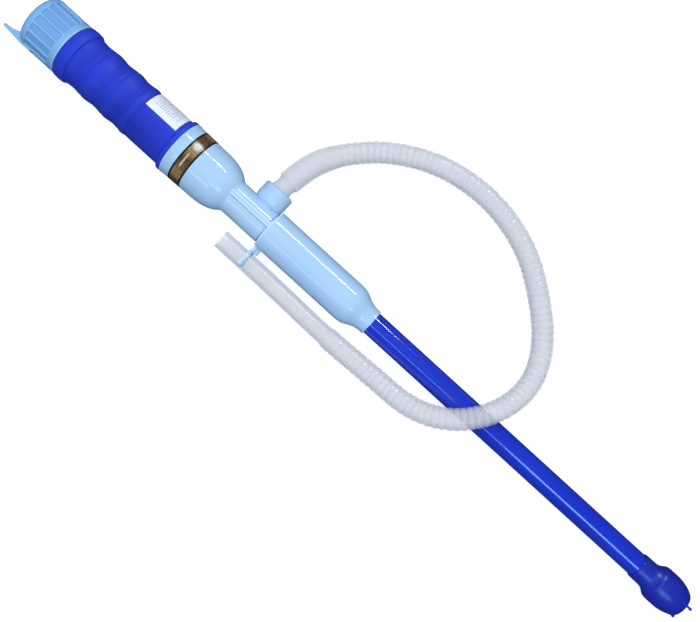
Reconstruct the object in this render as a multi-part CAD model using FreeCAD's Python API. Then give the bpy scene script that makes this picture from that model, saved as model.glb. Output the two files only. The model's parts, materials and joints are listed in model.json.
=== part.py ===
"""Battery-powered liquid transfer pump, lying on its side.

Millimetres. The origin is the centre of the intake's end face, on the pump's axis. +X runs along the
axis towards the cap, +Z is up, and +Y points to the side that the hose clip is on.
"""

import FreeCAD, Part
import math
import os
from FreeCAD import Vector

ORIGIN = Vector(0, 0, 0)
AXIS = Vector(1, 0, 0)

# Lengths along the axis, in order from the intake to the cap
foot_height = 3.6
bulb_length = 23.4
head_length = 42.9
tube_reach = 258.8
taper_length = 23.0
barrel_length = 77.2
neck_length = 35.5
dome_length = 51.5
case_length = 102.6
cap_length = 34.0

# Radii that are set by themselves
bulb_r = 14.0
tube_r = 9.0
barrel_r = 15.6
neck_r = 13.2
dome_foot_r = 20.9
dome_r = 21.6
cell_r = 16.65

# Walls and clearances
tube_wall = 1.3
bulb_wall = 1.8
housing_wall = 1.9
case_wall = 1.5
grip_wall = 2.55
flange_lip = 2.2
cap_wall = 2.15
socket_wall = 1.15
head_wall = 0.85
glue_gap = 0.05
shaft_gap = 0.05
spin_gap = 0.6
thread_gap = 0.4
cell_gap = 0.7

# Drive train
shaft_r = 1.5
impeller_r = 11.0
impeller_length = 8.0
impeller_x = 9.0
motor_r = 12.2
motor_length = 30.0
motor_wall = 0.7
motor_shaft_r = 1.0
guide_count = 4
guide_length = 8.0

# Intake
foot_count = 3
foot_angle = 11.5
foot_width = 2.2
foot_r = 10.4
slot_count = 6
slot_width = 2.6
hub_r = 4.0
end_wall = 2.2

# Outlet and hose
outlet_offset = 12.4
outlet_collar_r = 11.7
outlet_reach = 26.2
spigot_r = 5.6
hose_neck_r = 7.5
hose_neck_length = 7.0
cuff_r = 9.0
hose_r = 8.15
hose_end_r = 7.15
hose_wall = 1.0
clip_setback = 3.5
clip_width = 3.0
clip_base_width = 5.8

# Cells and cap
cell_length = 60.9
cell_nub = 1.4
cell_count = 2
cap_lift = 0.9
cap_flutes = 18
flute_depth = 0.8
flute_width = 5.2
neck_height = 11.0
tongue_reach = 12.0
tongue_lean = 1.4
tongue_half_width = 7.0

# Grip
lower_flange = 5.6
upper_flange = 9.0
label_length = 28.2
label_span = 90
label_thickness = 0.2
wave_height = 0.6
wave_depth = 0.3

# Stations that follow from the lengths
tube_x = head_length
housing_x = tube_x + tube_reach
barrel_x = housing_x + taper_length
shoulder_x = barrel_x + barrel_length
dome_x = shoulder_x + neck_length
case_x = dome_x + dome_length
cap_x = case_x + case_length
outlet_x = shoulder_x + outlet_offset

# Bores that follow from the pieces in them
tube_bore = tube_r - tube_wall
bulb_bore = bulb_r - bulb_wall
neck_bore = neck_r - housing_wall
barrel_bore = barrel_r - housing_wall
dome_bore = dome_foot_r - housing_wall - 0.4
case_bore = cell_r + cell_gap
case_neck_r = case_bore + case_wall
case_spigot_r = dome_bore + 0.45
cap_bore = case_neck_r + thread_gap

# Outsides that follow from what is inside them
head_collar_r = tube_r + glue_gap + head_wall
collar_r = tube_r + glue_gap + socket_wall
grip_r = case_bore + grip_wall
flange_r = grip_r + flange_lip
cap_r = cap_bore + cap_wall

# Places inside
bulkhead_x = dome_x - 8.0
bulkhead_length = 4.0
coupling_x = bulkhead_x + 6.5
coupling_length = 8.0
motor_x = coupling_x + coupling_length + 4.5
case_floor_x = case_x - 1.0
case_floor = 2.5
spring_wire_r = 0.5
spring_pitch = 0.7
spring_step = 0.6
strip_thickness = 0.3
strip_gap = 0.1
lead_r = 0.9
terminal_y = 8.0
strip_lead_y = case_bore - lead_r - 0.25
socket_depth = 14.5
housing_socket = 22.0

# The hose's route, from the outlet to the mouth in the clip. The first number is along the axis from the
# outlet; the pump lies on its flanges, which puts the floor flange_r under the axis.
hose_route = [
    (0.0, -outlet_reach, 0.0),
    (0.0, -54.0, 0.0),
    (-12.5, -79.5, -6.5),
    (-37.5, -103.5, -13.0),
    (-74.0, -121.0, -13.9),
    (-115.0, -127.0, -13.9),
    (-156.0, -119.0, -13.9),
    (-191.0, -98.0, -10.0),
    (-218.0, -71.0, 0.5),
    (-228.0, -44.0, 15.5),
    (-222.5, -16.0, 29.0),
    (-205.5, 10.5, 29.0),
    (-179.0, 27.5, 16.0),
    (-140.0, 28.5, 4.0),
    (-94.0, 30.0, -1.5),
    (-43.0, 28.4, 0.0),
    (8.5, 28.4, 0.0),
]
cuff_last = 2
end_first = 14
hose_y = hose_route[-1][1]


def cylinder(r, x0, x1):
    """A solid cylinder on the pump's axis, from x0 to x1."""
    return Part.makeCylinder(r, x1 - x0, Vector(x0, 0, 0), AXIS)


def ring(r_out, r_in, x0, x1):
    """A ring on the pump's axis."""
    return cylinder(r_out, x0, x1).cut(cylinder(r_in, x0 - 1, x1 + 1))


def outline(start, *steps):
    """A closed face from (along, out) points. A step is one point for a line, two for an arc, three for a curve."""
    edges = []
    here = Vector(start[0], start[1], 0)
    for step in [*steps, (start,)]:
        points = [Vector(a, r, 0) for a, r in step]
        if (points[-1] - here).Length < 1e-6:
            continue
        if len(points) == 1:
            edges.append(Part.LineSegment(here, points[0]).toShape())
        elif len(points) == 2:
            edges.append(Part.Arc(here, points[0], points[1]).toShape())
        else:
            curve = Part.BezierCurve()
            curve.setPoles([here, *points])
            edges.append(curve.toShape())
        here = points[-1]
    return Part.Face(Part.Wire(edges))


def turned(face):
    """The face turned about the pump's axis."""
    return face.revolve(ORIGIN, AXIS, 360)


def sector(r_out, r_in, x0, x1, start, span):
    """A part of a ring. Angles are in degrees from +Z, towards +Y."""
    face = outline((x0, r_in), ((x1, r_in),), ((x1, r_out),), ((x0, r_out),))
    face.rotate(ORIGIN, AXIS, 90 - start)
    return face.revolve(ORIGIN, AXIS, -span)


def block(x0, x1, y0, y1, z0, z1):
    """A box between two corners."""
    return Part.makeBox(x1 - x0, y1 - y0, z1 - z0, Vector(x0, y0, z0))


def around(shape, count, first=0.0):
    """Copies of a shape, spread evenly round the pump's axis."""
    copies = []
    for i in range(count):
        copy = shape.copy()
        copy.rotate(ORIGIN, AXIS, first + i * 360 / count)
        copies.append(copy)
    return copies


def save(name, *solids):
    """Writes one node: a solid, or a group of separate ones."""
    shape = solids[0] if len(solids) == 1 else Part.Compound(list(solids))
    if len(solids) == 1 and len(shape.Solids) == 1:
        shape = shape.Solids[0]
    shape.exportStep(f"parts/{name}.step")
    print(name, len(shape.Solids), "solids", round(shape.Volume), "mm3", "" if shape.isValid() else "NOT VALID")


# ---------------------------------------------------------------- intake and head


def intake_bulb():
    """The cup at the foot: rounded, slotted in its end wall, with feet that keep it off the bottom."""
    outer = turned(
        outline(
            (0, 0),
            ((0, 9.2),),
            ((2.6, bulb_r - 2.4), (11.0, bulb_r - 0.35)),
            ((14.5, bulb_r), (18.0, bulb_r)),
            ((bulb_length, bulb_r),),
            ((bulb_length, 0),),
        )
    )
    inner = turned(
        outline(
            (end_wall, 0),
            ((end_wall, 8.4),),
            ((end_wall + 2.2, bulb_bore - 1.9), (11.0, bulb_bore),),
            ((bulb_length + 1, bulb_bore),),
            ((bulb_length + 1, 0),),
        )
    )
    cup = outer.cut(inner)
    cup = cup.fuse(cylinder(hub_r, 0, end_wall + 4.0))
    slot = block(-1, end_wall + 1, hub_r + 1.2, 8.0, -slot_width / 2, slot_width / 2)
    cup = cup.cut(Part.Compound(around(slot, slot_count)))
    foot = block(-foot_height, 6.5, -foot_width / 2, foot_width / 2, foot_r - 1.6, foot_r + 1.0)
    feet = [f.cut(inner) for f in around(foot, foot_count, foot_angle)]
    cup = cup.fuse(feet).removeSplitter()
    return cup.cut(cylinder(shaft_r + 1.6 + glue_gap, 1.0, bulb_length))


def foot_bearing():
    """The bush in the intake's hub that steadies the shaft's end."""
    return ring(shaft_r + 1.6, shaft_r + shaft_gap, 1.0, end_wall + 4.0)


def pump_head():
    """The collar that joins the bulb to the suction tube."""
    seat_x = head_length - socket_depth
    outer = turned(
        outline(
            (bulb_length - 5.0, 0),
            ((bulb_length - 5.0, bulb_bore - glue_gap),),
            ((bulb_length, bulb_bore - glue_gap),),
            ((bulb_length, bulb_r - 0.3),),
            ((bulb_length + 3.0, bulb_r - 1.6), (bulb_length + 7.0, head_collar_r + 1.0)),
            ((bulb_length + 9.0, head_collar_r + 0.4), (bulb_length + 11.5, head_collar_r + 0.2)),
            ((head_length - 1.0, head_collar_r),),
            ((head_length, head_collar_r - 0.6),),
            ((head_length, 0),),
        )
    )
    passage = turned(
        outline(
            (bulb_length - 6.0, 0),
            ((bulb_length - 6.0, bulb_bore - 1.5),),
            ((bulb_length - 1.0, bulb_bore - 1.5),),
            ((seat_x - 2.0, tube_bore),),
            ((seat_x, tube_bore),),
            ((seat_x, tube_r + glue_gap),),
            ((head_length + 1.0, tube_r + glue_gap),),
            ((head_length + 1.0, 0),),
        )
    )
    return outer.cut(passage)


def impeller():
    """A hub with four slanted blades."""
    hub = cylinder(shaft_r + 2.0, impeller_x, impeller_x + impeller_length)
    blade = block(-0.7, 0.7, -4.2, 4.2, 0, impeller_r)
    blade.rotate(ORIGIN, Vector(0, 0, 1), 38)
    blade.translate(Vector(impeller_x + impeller_length / 2, 0, 0))
    wheel = hub.fuse(around(blade, 4)).common(cylinder(impeller_r, impeller_x, impeller_x + impeller_length))
    return wheel.cut(cylinder(shaft_r, impeller_x - 1, impeller_x + impeller_length + 1))


def suction_tube():
    """The long tube, glued into the head and the housing."""
    return ring(tube_r, tube_bore, head_length - socket_depth, housing_x + housing_socket)


def shaft_guides():
    """Three-armed guides in the tube, each a tight fit in it and a running fit on the shaft."""
    guides = []
    for i in range(guide_count):
        x = tube_x + tube_reach * (i + 0.5) / guide_count
        arm = block(x, x + guide_length, -0.8, 0.8, 0, tube_bore - glue_gap)
        guide = cylinder(shaft_r + 1.5, x, x + guide_length).fuse(around(arm, 3, 180))
        guide = guide.common(cylinder(tube_bore - glue_gap, x, x + guide_length))
        guides.append(guide.cut(cylinder(shaft_r + shaft_gap, x - 1, x + guide_length + 1)))
    return guides


# ---------------------------------------------------------------- housing


def housing_body():
    """The whole light shell before it is split: socket, taper, barrel, neck and dome."""
    taper_mid = housing_x + 2.5 + (taper_length - 2.5) / 2
    outer = turned(
        outline(
            (housing_x, 0),
            ((housing_x, collar_r - 0.5),),
            ((housing_x + 0.5, collar_r),),
            ((housing_x + 2.5, collar_r),),
            ((taper_mid, collar_r), (taper_mid, barrel_r), (barrel_x, barrel_r)),
            ((shoulder_x - 0.8, barrel_r),),
            ((shoulder_x - 0.2, barrel_r - 0.2), (shoulder_x, barrel_r - 0.8)),
            ((shoulder_x, neck_r),),
            ((dome_x - 1.5, neck_r),),
            ((dome_x + 2.0, neck_r), (dome_x + 3.0, dome_foot_r + 0.3), (dome_x + 25.6, dome_foot_r)),
            ((case_x, dome_r),),
            ((case_x, 0),),
        )
    )
    socket_end = housing_x + housing_socket
    inner = turned(
        outline(
            (housing_x - 1, 0),
            ((housing_x - 1, tube_r + glue_gap),),
            ((socket_end, tube_r + glue_gap),),
            ((socket_end, tube_bore),),
            ((socket_end + 2.0, tube_bore),),
            ((barrel_x + 8.0, barrel_bore),),
            ((shoulder_x - 4.0, barrel_bore),),
            ((shoulder_x - 1.0, neck_bore),),
            ((dome_x, neck_bore),),
            ((dome_x + 15.0, dome_bore),),
            ((case_x - 6.5, dome_bore),),
            ((case_x - 6.5, case_spigot_r + glue_gap),),
            ((case_x + 1, case_spigot_r + glue_gap),),
            ((case_x + 1, 0),),
        )
    )
    ledge = ring(neck_bore + 0.5, neck_bore - 1.5, bulkhead_x - 2.0, bulkhead_x)
    seam = block(shoulder_x - 1.0, dome_x + 3.0, -2.4, 0, neck_bore + 0.5, neck_r + 1.2)
    spigot = Part.makeCylinder(spigot_r, outlet_reach - 2.0, Vector(outlet_x, 0, 0), Vector(0, -1, 0))
    spigot = spigot.cut(cylinder(neck_bore, outlet_x - 20, outlet_x + 20))
    shell = outer.cut(inner).fuse([ledge, seam, spigot])
    way = Part.makeCylinder(spigot_r - 1.4, outlet_reach, Vector(outlet_x, 0, 0), Vector(0, -1, 0))
    return shell.cut(way)


def housing_halves():
    """The shell cut along its seam, which runs in the plane of the axis and +Z."""
    shell = housing_body()
    far = case_x + 50
    near_side = block(0, far, 0, 60, -60, 60)
    far_side = block(0, far, -60, 0, -60, 60)
    return shell.common(near_side), shell.common(far_side)


def outlet_collar():
    """The cup that grips the hose's neck round the outlet spigot."""
    top = outlet_reach
    face = outline(
        (0, hose_neck_r + glue_gap),
        ((0, 8.6),),
        ((neck_r + 0.5, 8.6),),
        ((neck_r + 1.4, outlet_collar_r - 0.9), (neck_r + 4.6, outlet_collar_r)),
        ((top - 2.2, outlet_collar_r),),
        ((top - 0.65, outlet_collar_r - 0.65), (top, outlet_collar_r - 2.2)),
        ((top, hose_neck_r + glue_gap),),
    )
    cup = turned(face).fuse(ring(8.6, spigot_r + glue_gap, 0, neck_r + 2.0))
    cup.rotate(ORIGIN, Vector(0, 0, 1), -90)
    cup.translate(Vector(outlet_x, 0, 0))
    return cup.cut(cylinder(neck_r + glue_gap, outlet_x - 20, outlet_x + 20))


def hose_clip():
    """The moulded arm and open ring that hold the hose's free end beside the barrel."""
    x = shoulder_x - clip_setback
    centre = Vector(x, hose_y, 0)
    inside = hose_end_r + glue_gap
    hoop = Part.makeCylinder(inside + 1.8, clip_width, centre, AXIS)
    base = block(x - 1.0, x - 1.0 + clip_base_width, barrel_r - 3.0, hose_y - inside, -2.0, 2.0)
    clip = hoop.fuse(base)
    clip = clip.cut(Part.makeCylinder(inside, 20, Vector(x - 10, hose_y, 0), AXIS))
    clip = clip.cut(block(x - 5, x + 10, hose_y + 3.0, hose_y + 30, -30, 30))
    for side in (-1, 1):
        tip = Part.makeCylinder(1.5, clip_width, Vector(x, hose_y + 3.0, side * (inside + 1.45)), AXIS)
        clip = clip.fuse(tip)
    clip = clip.cut(Part.makeCylinder(inside, 20, Vector(x - 10, hose_y, 0), AXIS))
    return clip.cut(cylinder(barrel_r, x - 20, x + 20))


def band_sticker():
    """The thin printed band round the dome."""
    x0 = case_x - 19.1
    x1 = case_x - 8.4
    slope = (dome_r - dome_foot_r) / (case_x - dome_x - 25.6)
    r0 = dome_r - slope * (case_x - x0)
    r1 = dome_r - slope * (case_x - x1)
    return turned(outline((x0, r0), ((x1, r1),), ((x1, r1 + 0.2),), ((x0, r0 + 0.2),)))


# ---------------------------------------------------------------- sealing and drive


def bulkhead():
    """The wall between the wet chamber and the motor."""
    return ring(neck_bore - glue_gap, 4.0 + glue_gap, bulkhead_x, bulkhead_x + bulkhead_length)


def shaft_seal():
    """The lip seal in the bulkhead."""
    return ring(4.0, shaft_r + shaft_gap, bulkhead_x, bulkhead_x + bulkhead_length)


def drive_shaft():
    """The long shaft from the coupling to the intake's hub."""
    return cylinder(shaft_r, 1.5, coupling_x + coupling_length / 2 - 0.1)


def shaft_coupling():
    """The sleeve that joins the motor's shaft to the long one."""
    middle = coupling_x + coupling_length / 2
    sleeve = cylinder(3.4, coupling_x, coupling_x + coupling_length)
    sleeve = sleeve.cut(cylinder(shaft_r, coupling_x - 1, middle))
    return sleeve.cut(cylinder(motor_shaft_r, middle - 1, coupling_x + coupling_length + 1))


def motor_mount():
    """The ring that holds the motor in the dome."""
    hold = ring(dome_bore - glue_gap, motor_r + glue_gap, motor_x + 5.0, motor_x + 14.0)
    pocket = sector(dome_bore - 1.6, motor_r + 1.6, motor_x + 4.0, motor_x + 12.5, -24, 48)
    return hold.cut(Part.Compound(around(pocket, 6)))


def motor_can():
    """The motor's steel can, with its closed front and the front bush's seat."""
    can = ring(motor_r, motor_r - motor_wall, motor_x, motor_x + motor_length)
    front = ring(motor_r, 2.4, motor_x, motor_x + motor_wall)
    nose = ring(4.6, 2.4, motor_x - 2.0, motor_x + motor_wall)
    return can.fuse([front, nose])


def motor_end_bell():
    """The plastic end of the motor, with the rear bush's seat."""
    x1 = motor_x + motor_length
    bell = ring(motor_r - motor_wall - glue_gap, 2.4, x1 - 3.0, x1)
    bell = bell.fuse(ring(4.6, 2.4, x1 - 3.0, x1 + 2.0))
    return bell.cut(lead_holes(x1 - 4, x1 + 1, (-terminal_y, terminal_y)))


def lead_holes(x0, x1, places):
    """Holes along the axis for the leads, at these distances along Y."""
    return Part.Compound([Part.makeCylinder(lead_r + 0.1, x1 - x0, Vector(x0, y, 0), AXIS) for y in places])


def motor_bushings():
    """The front and rear bushes of the motor's shaft."""
    x1 = motor_x + motor_length
    bore = motor_shaft_r + 0.03
    return [ring(2.4, bore, motor_x - 2.0, motor_x + motor_wall), ring(2.4, bore, x1 - 3.0, x1 + 2.0)]


def field_magnets():
    """Two arc magnets inside the can."""
    r_out = motor_r - motor_wall
    x0 = motor_x + 4.0
    return [sector(r_out, r_out - 2.4, x0, x0 + 19.0, start, 130) for start in (-65, 115)]


def armature_core():
    """The three-pole stack on the motor's shaft."""
    x0 = motor_x + 6.0
    r = motor_r - motor_wall - 2.4 - spin_gap
    core = ring(r, motor_shaft_r, x0, x0 + 15.0)
    slot = sector(r - 1.6, 3.6, x0 - 1, x0 + 16.0, -38, 76)
    gap = block(x0 - 1, x0 + 16, -0.9, 0.9, 3.6, r + 1)
    return core.cut(Part.Compound(around(slot, 3) + around(gap, 3)))


def armature_windings():
    """The three coils, one in each slot of the stack, with their end turns."""
    x0 = motor_x + 6.0
    r = motor_r - motor_wall - 2.4 - spin_gap
    coil = sector(r - 1.9, 3.9, x0 - 2.0, x0 + 17.0, -34, 68)
    return around(coil, 3)


def commutator():
    """The copper segments on the motor's shaft."""
    x1 = motor_x + motor_length
    drum = ring(2.7, motor_shaft_r, x1 - 6.6, x1 - 3.3)
    slit = block(x1 - 7, x1 - 3, -0.2, 0.2, 1.8, 4)
    return drum.cut(Part.Compound(around(slit, 3, 60)))


def brushes():
    """The two brushes, held by the end bell, a running gap from the commutator."""
    x1 = motor_x + motor_length
    found = []
    for side in (-1, 1):
        y0, y1 = sorted((side * 2.8, side * 8.9))
        arm = block(x1 - 5.6, x1 - 4.4, y0, y1, -1.2, 1.2)
        leg_y0, leg_y1 = sorted((side * 7.2, side * 8.9))
        leg = block(x1 - 5.6, x1 - 3.0, leg_y0, leg_y1, -1.2, 1.2)
        found.append(arm.fuse(leg))
    return found


def motor_leads():
    """The two leads: one straight up to the case's spring, one out to the side conductor."""
    start_x = motor_x + motor_length - 2.5
    end_x = case_floor_x + case_floor - 0.1
    straight = Part.makeCylinder(lead_r, end_x - start_x, Vector(start_x, terminal_y, 0), AXIS)
    elbow_x = start_x + 7.5
    lower = Vector(elbow_x, -terminal_y, 0)
    upper = Vector(elbow_x, -strip_lead_y, 0)
    bent = Part.makeCylinder(lead_r, elbow_x - start_x, Vector(start_x, -terminal_y, 0), AXIS)
    across = Part.makeCylinder(lead_r, strip_lead_y - terminal_y, lower, Vector(0, -1, 0))
    rise = Part.makeCylinder(lead_r, end_x - elbow_x, upper, AXIS)
    corners = [Part.makeSphere(lead_r, corner) for corner in (lower, upper)]
    return [straight, bent.fuse([across, rise, *corners])]


def motor_shaft():
    """The motor's own shaft."""
    return cylinder(motor_shaft_r, coupling_x + coupling_length / 2 + 0.1, motor_x + motor_length + 2.6)


# ---------------------------------------------------------------- battery case and cells


def battery_case():
    """The dark grip: two flanges, three finger waves and the threaded neck for the cap."""
    low = grip_r - wave_depth
    high = grip_r + wave_height
    top = cap_x - upper_flange
    waves = Part.BSplineCurve()
    ends = [
        (case_x + 38.8, high),
        (case_x + 46.5, low),
        (case_x + 55.5, high),
        (case_x + 65.5, low),
        (case_x + 75.5, high),
        (case_x + 85.5, low),
        (top, grip_r + 0.9),
    ]
    start = Vector(case_x + lower_flange + label_length + 0.4, grip_r, 0)
    waves.interpolate([start] + [Vector(x, r, 0) for x, r in ends])
    spigot_x = case_x - 6.5
    before = [
        (spigot_x, 0),
        (spigot_x, case_spigot_r),
        (case_x, case_spigot_r),
        (case_x, flange_r - 0.5),
        (case_x + 3.2, flange_r - 0.3),
        (case_x + 4.4, grip_r + 0.5),
        (case_x + lower_flange, grip_r),
        (start.x, grip_r),
    ]
    after = [
        (top, grip_r + 0.9),
        (top + 0.8, flange_r),
        (cap_x - 0.6, flange_r),
        (cap_x, flange_r - 0.6),
        (cap_x, case_neck_r),
        (cap_x + neck_height, case_neck_r),
        (cap_x + neck_height, 0),
        (spigot_x, 0),
    ]
    edges = []
    for run in (before, after):
        points = [Vector(x, r, 0) for x, r in run]
        edges += [Part.LineSegment(a, b).toShape() for a, b in zip(points, points[1:])]
        if run is before:
            edges.append(waves.toShape())
    body = turned(Part.Face(Part.Wire(edges)))
    body = body.cut(cylinder(case_bore, case_floor_x + case_floor, cap_x + neck_height + 1))
    body = body.cut(cylinder(case_spigot_r - 1.8, spigot_x - 1, case_floor_x))
    holes = lead_holes(case_floor_x - 1, case_floor_x + case_floor + 1, (terminal_y, -strip_lead_y))
    groove = ring(case_neck_r + 1, case_neck_r - 0.7, cap_x + 1.8, cap_x + 3.6)
    return body.cut(holes).cut(groove)


def cap_seal():
    """The sealing ring in the case's neck."""
    return ring(cap_bore - 0.1, case_neck_r - 0.7, cap_x + 1.9, cap_x + 3.5)


def label_sticker():
    """The plain paper label on the grip."""
    x0 = case_x + lower_flange + 0.2
    return sector(grip_r + label_thickness, grip_r, x0, x0 + label_length, -110, label_span)


def cell(x0):
    """One standard D cell, with its raised terminal towards the cap."""
    body = cylinder(cell_r, x0, x0 + cell_length - cell_nub)
    return body.fuse(cylinder(4.6, x0 + cell_length - cell_nub - 0.1, x0 + cell_length)).removeSplitter()


def coil_spring(x, direction, big_r):
    """A short conical contact spring, with its coils as closed rings."""
    rings = []
    for i in range(3):
        centre = Vector(x + direction * (spring_wire_r + i * spring_pitch), 0, 0)
        rings.append(Part.makeTorus(big_r - i * spring_step, spring_wire_r, centre, AXIS))
    return rings[0].fuse(rings[1:])


spring_height = 2 * spring_wire_r + 2 * spring_pitch
cells_x = case_floor_x + case_floor + spring_height + 0.1
cells_end = cells_x + cell_count * cell_length
plate_x = cells_end + spring_height + 0.6
cap_bottom = cap_x + cap_lift
cap_top = cap_bottom + cap_length


def side_conductor():
    """The strip that carries current from the cap's contact down the case."""
    floor_x = case_floor_x + case_floor
    outer = case_bore - strip_gap
    inner = outer - strip_thickness
    strip = sector(outer, inner, floor_x, cap_x + neck_height, -100, 20)
    rim_x = cap_x + neck_height
    tab = sector(case_neck_r - 0.3, inner, rim_x, rim_x + strip_thickness, -100, 20)
    return strip.fuse(tab)


def cap_contact():
    """The metal cup in the cap that joins the last cell to the side conductor when the cap is down."""
    skirt_r = case_neck_r - 0.1
    skirt_x = cap_x + neck_height + strip_thickness + 0.6
    skirt = ring(skirt_r, skirt_r - 0.4, skirt_x, plate_x + 0.6)
    return skirt.fuse(cylinder(skirt_r, plate_x, plate_x + 0.6))


# ---------------------------------------------------------------- cap


def cap_shell():
    """The fluted screw cap, which is also the switch, with its thumb tongue on the +Y side."""
    crown = 6.5
    outer = turned(
        outline(
            (cap_bottom, 0),
            ((cap_bottom, cap_r - 0.5),),
            ((cap_bottom + 0.5, cap_r),),
            ((cap_top - crown, cap_r),),
            ((cap_top - crown * 0.3, cap_r - crown * 0.3), (cap_top, cap_r - crown)),
            ((cap_top, 0),),
        )
    )
    flute_x = cap_bottom + 4.6
    flute = block(flute_x, cap_top - 4.2, -flute_width / 2, flute_width / 2, cap_r - flute_depth, cap_r + 2)
    outer = outer.cut(Part.Compound(around(flute, cap_flutes, 90)))
    tongue = tongue_solid()
    ledge_x = plate_x + 1.0
    inner = turned(
        outline(
            (cap_bottom - 1, 0),
            ((cap_bottom - 1, cap_bore),),
            ((ledge_x, cap_bore),),
            ((ledge_x, cap_bore - 1.6),),
            ((cap_top - cap_wall - 1.6, cap_bore - 3.4), (cap_top - cap_wall, cap_bore - 8.0)),
            ((cap_top - cap_wall, 0),),
        )
    )
    return outer.fuse(tongue).removeSplitter().cut(inner)


def tongue_solid():
    """The thumb tongue: a plate that stands up past the cap's top, thicker at its root, with a gusset."""
    tip_x = cap_top + tongue_reach
    outer_r = cap_r - tongue_lean
    inner_r = outer_r - 2.2
    plate = outline(
        (cap_top - 14.0, cap_r - 3.0),
        ((cap_top - 14.0, cap_r),),
        ((cap_top - 4.0, cap_r),),
        ((tip_x, outer_r),),
        ((tip_x + 1.2, (outer_r + inner_r) / 2), (tip_x, inner_r)),
        ((cap_top + 6.0, inner_r - 0.6),),
        ((cap_top + 1.5, cap_r - 6.0),),
        ((cap_top - 3.0, cap_r - 7.0),),
    )
    plate = plate.extrude(Vector(0, 0, 2 * tongue_half_width))
    plate.translate(Vector(0, 0, -tongue_half_width))
    return plate


# ---------------------------------------------------------------- hose


def hose_edges():
    """The route as straight runs joined by tangent arcs. Each arc is returned as two halves."""
    points = [Vector(outlet_x + x, y, z) for x, y, z in hose_route]
    pieces = [[]]
    radii = []
    here = points[0]
    for i in range(1, len(points) - 1):
        before = points[i] - points[i - 1]
        after = points[i + 1] - points[i]
        turn = before.getAngle(after)
        reach = 0.45 * min(before.Length, after.Length)
        radius = reach / math.tan(turn / 2)
        radii.append(round(radius, 1))
        u = Vector(before).normalize()
        v = Vector(after).normalize()
        start = points[i] - u * reach
        finish = points[i] + v * reach
        inward = (v - u).normalize()
        centre = points[i] + inward * (radius / math.cos(turn / 2))
        middle = centre - inward * radius
        quarters = [middle, *[centre + ((end + middle) / 2 - centre).normalize() * radius for end in (start, finish)]]
        pieces[-1].append(Part.LineSegment(here, start).toShape())
        pieces[-1].append(Part.Arc(start, quarters[1], middle).toShape())
        if i in (cuff_last, end_first):
            pieces.append([])
        pieces[-1].append(Part.Arc(middle, quarters[2], finish).toShape())
        here = finish
    pieces[-1].append(Part.LineSegment(here, points[-1]).toShape())
    print("hose radii", radii)
    return pieces


def hose_tube(edges, r_out):
    """A hollow tube along part of the route."""
    path = Part.Wire(edges)
    start = path.Edges[0]
    begin = start.valueAt(start.FirstParameter)
    heading = start.tangentAt(start.FirstParameter)
    shells = []
    for r in (r_out, r_out - hose_wall):
        section = Part.Wire([Part.makeCircle(r, begin, heading)])
        shells.append(path.makePipeShell([section], True, False))
    tube = shells[0].cut(shells[1])
    area = math.pi * (r_out**2 - (r_out - hose_wall) ** 2)
    print("hose length", round(path.Length, 1), "volume", round(tube.Volume), "expected", round(area * path.Length))
    return tube


def hose_nodes():
    """The hose's three stretches: the smooth cuff, the ribbed middle and the smooth end in the clip."""
    cuff_path, ribbed_path, end_path = hose_edges()
    cuff = hose_tube(cuff_path, cuff_r)
    down = Vector(0, -1, 0)
    root = -(neck_r + 2.2)
    shoulder_y = -(outlet_reach + hose_neck_length)
    neck = Part.makeCylinder(hose_neck_r, root - shoulder_y, Vector(outlet_x, root, 0), down)
    cut_back = Part.makeCylinder(cuff_r + 1, hose_neck_length + 1, Vector(outlet_x, 1 - outlet_reach, 0), down)
    bore = Part.makeCylinder(hose_neck_r - 1.85, root - shoulder_y + 1, Vector(outlet_x, root, 0), down)
    step = Part.makeCylinder(cuff_r, 1.5, Vector(outlet_x, shoulder_y, 0), down)
    cuff = cuff.cut(cut_back).fuse([neck, step]).cut(bore)
    cuff = cuff.cut(Part.makeCylinder(hose_neck_r - 1.85, 4, Vector(outlet_x, shoulder_y, 0), down))
    save("hose_cuff", cuff)
    save("hose_ribbed", hose_tube(ribbed_path, hose_r))
    save("hose_end", hose_tube(end_path, hose_end_r))


# ---------------------------------------------------------------- write the nodes


def main():
    os.makedirs("parts", exist_ok=True)
    near_half, far_half = housing_halves()
    save("intake_bulb", intake_bulb())
    save("foot_bearing", foot_bearing())
    save("pump_head", pump_head())
    save("impeller", impeller())
    save("suction_tube", suction_tube())
    save("shaft_guides", *shaft_guides())
    save("drive_shaft", drive_shaft())
    save("housing_clip_half", near_half)
    save("housing_outlet_half", far_half)
    save("outlet_collar", outlet_collar())
    save("hose_clip", hose_clip())
    save("band_sticker", band_sticker())
    save("bulkhead", bulkhead())
    save("shaft_seal", shaft_seal())
    save("shaft_coupling", shaft_coupling())
    save("motor_mount", motor_mount())
    save("motor_can", motor_can())
    save("motor_end_bell", motor_end_bell())
    save("motor_bushings", *motor_bushings())
    save("field_magnets", *field_magnets())
    save("armature_core", armature_core())
    save("armature_windings", *armature_windings())
    save("commutator", commutator())
    save("brushes", *brushes())
    save("motor_shaft", motor_shaft())
    save("motor_leads", *motor_leads())
    save("battery_case", battery_case())
    save("label_sticker", label_sticker())
    save("cap_seal", cap_seal())
    save("cell_lower", cell(cells_x))
    save("cell_upper", cell(cells_x + cell_length))
    save("case_spring", coil_spring(case_floor_x + case_floor, 1, 7.5))
    save("side_conductor", side_conductor())
    save("cap_contact", cap_contact())
    save("cap_spring", coil_spring(plate_x, -1, 5.5))
    save("cap_shell", cap_shell())
    hose_nodes()


main()
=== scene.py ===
import json
import math

import bpy
from mathutils import Matrix, Vector


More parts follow.
